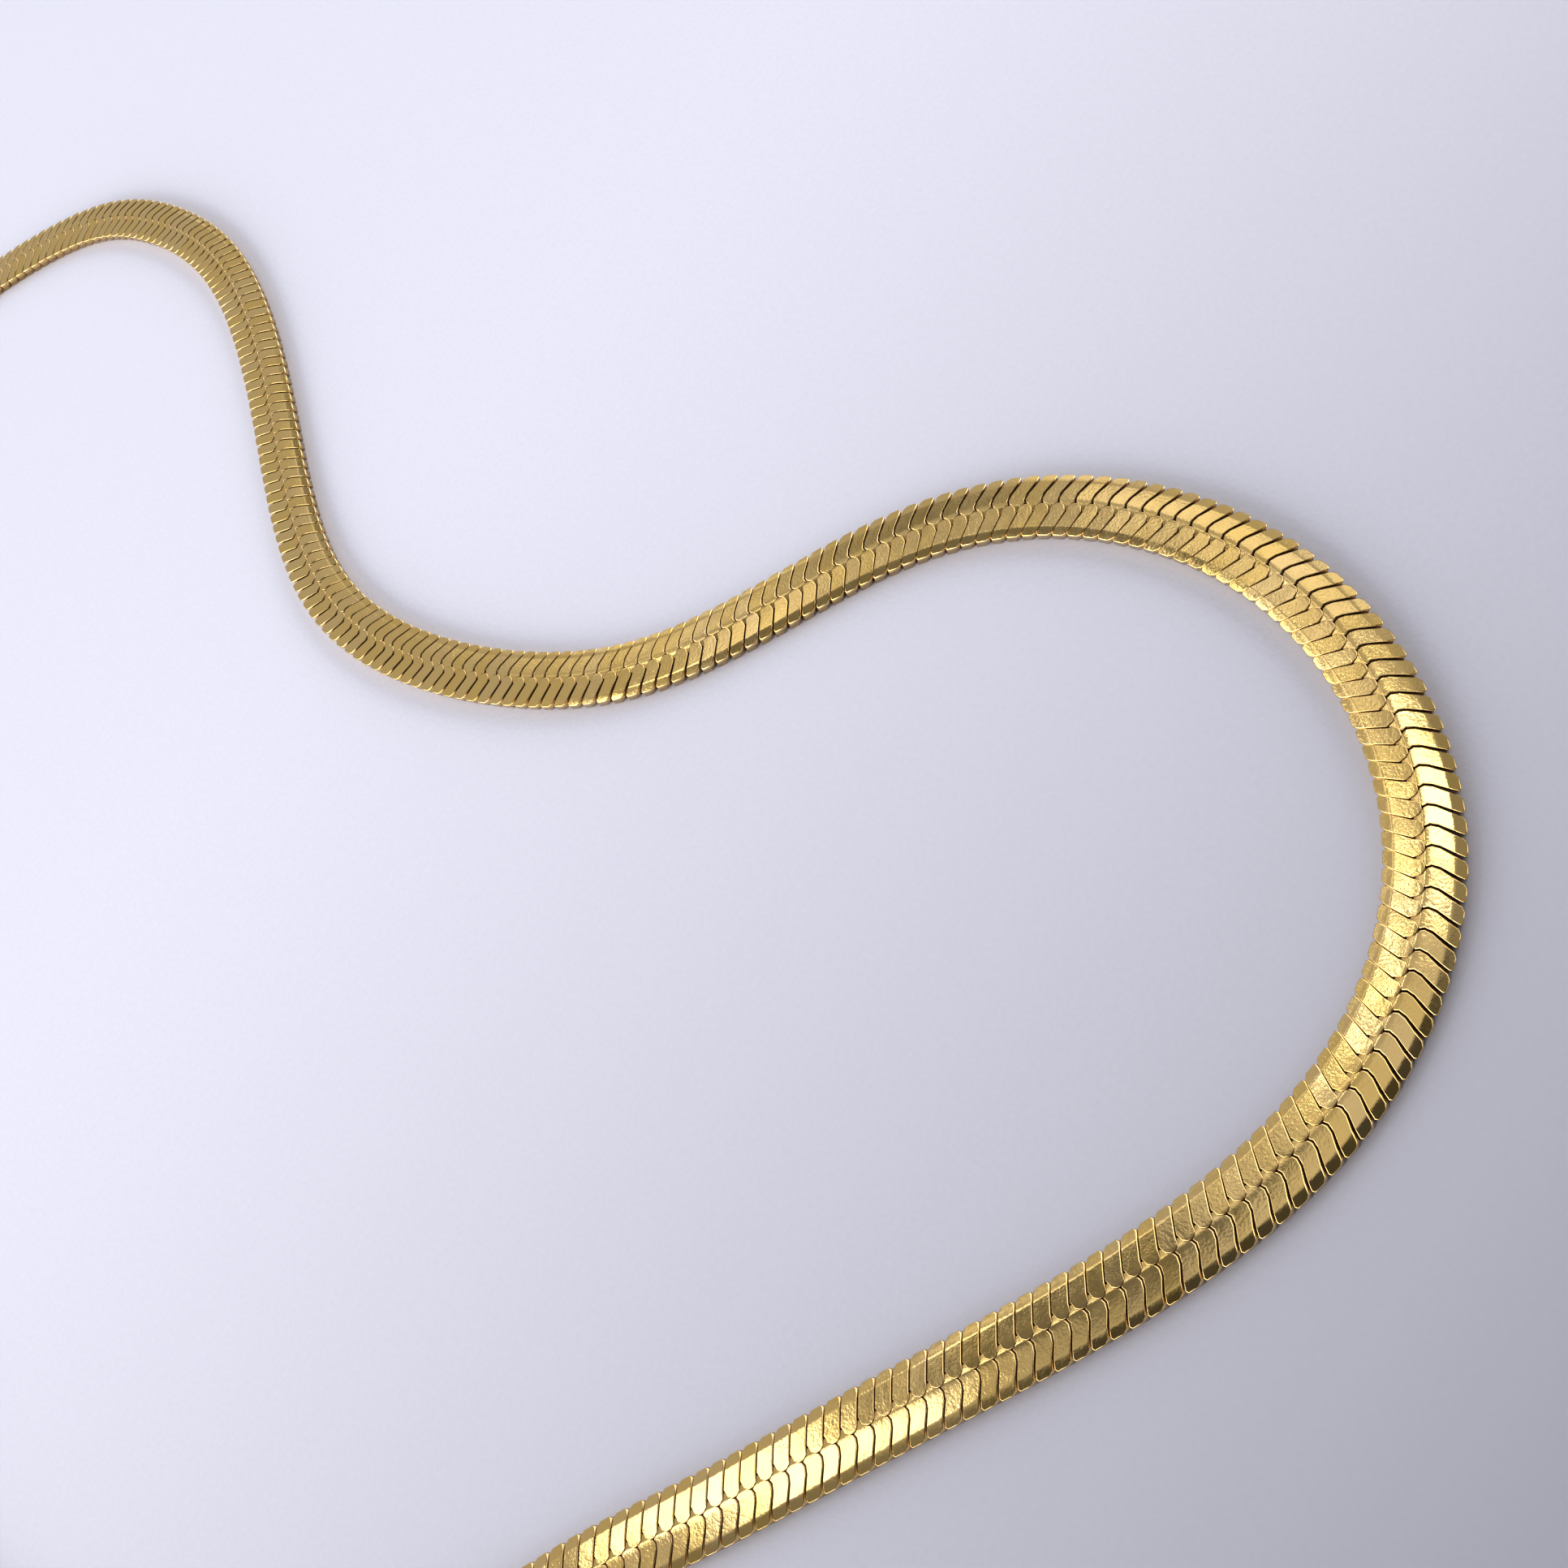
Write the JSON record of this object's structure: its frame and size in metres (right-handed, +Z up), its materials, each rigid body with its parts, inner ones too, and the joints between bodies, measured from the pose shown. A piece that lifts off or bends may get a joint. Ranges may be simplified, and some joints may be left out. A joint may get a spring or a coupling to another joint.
{
  "type": "herringbone necklace",
  "caption": "Flat herringbone neck chain in polished yellow gold, lying closed on a surface in a gentle S, with end caps, jump rings and a claw clasp.",
  "frame": {"origin": "on the surface that the necklace lies on, under the middle of its overall box", "axes": "+Z up from the surface, +Y along the laid loop's longest side and away from the viewer, +X to the right"},
  "size_m": [0.1304, 0.1921, 0.0038],
  "materials": {
    "band_gold": "polished yellow gold plate with fine wear",
    "fitting_gold": "polished yellow gold plate"
  },
  "bodies": {
    "root": {"band": "band_gold", "cap_hook_side": "fitting_gold", "cap_eye_side": "fitting_gold", "ring_hook_side": "fitting_gold", "ring_eye_side": "fitting_gold", "clasp": "fitting_gold"}
  },
  "joints": []
}
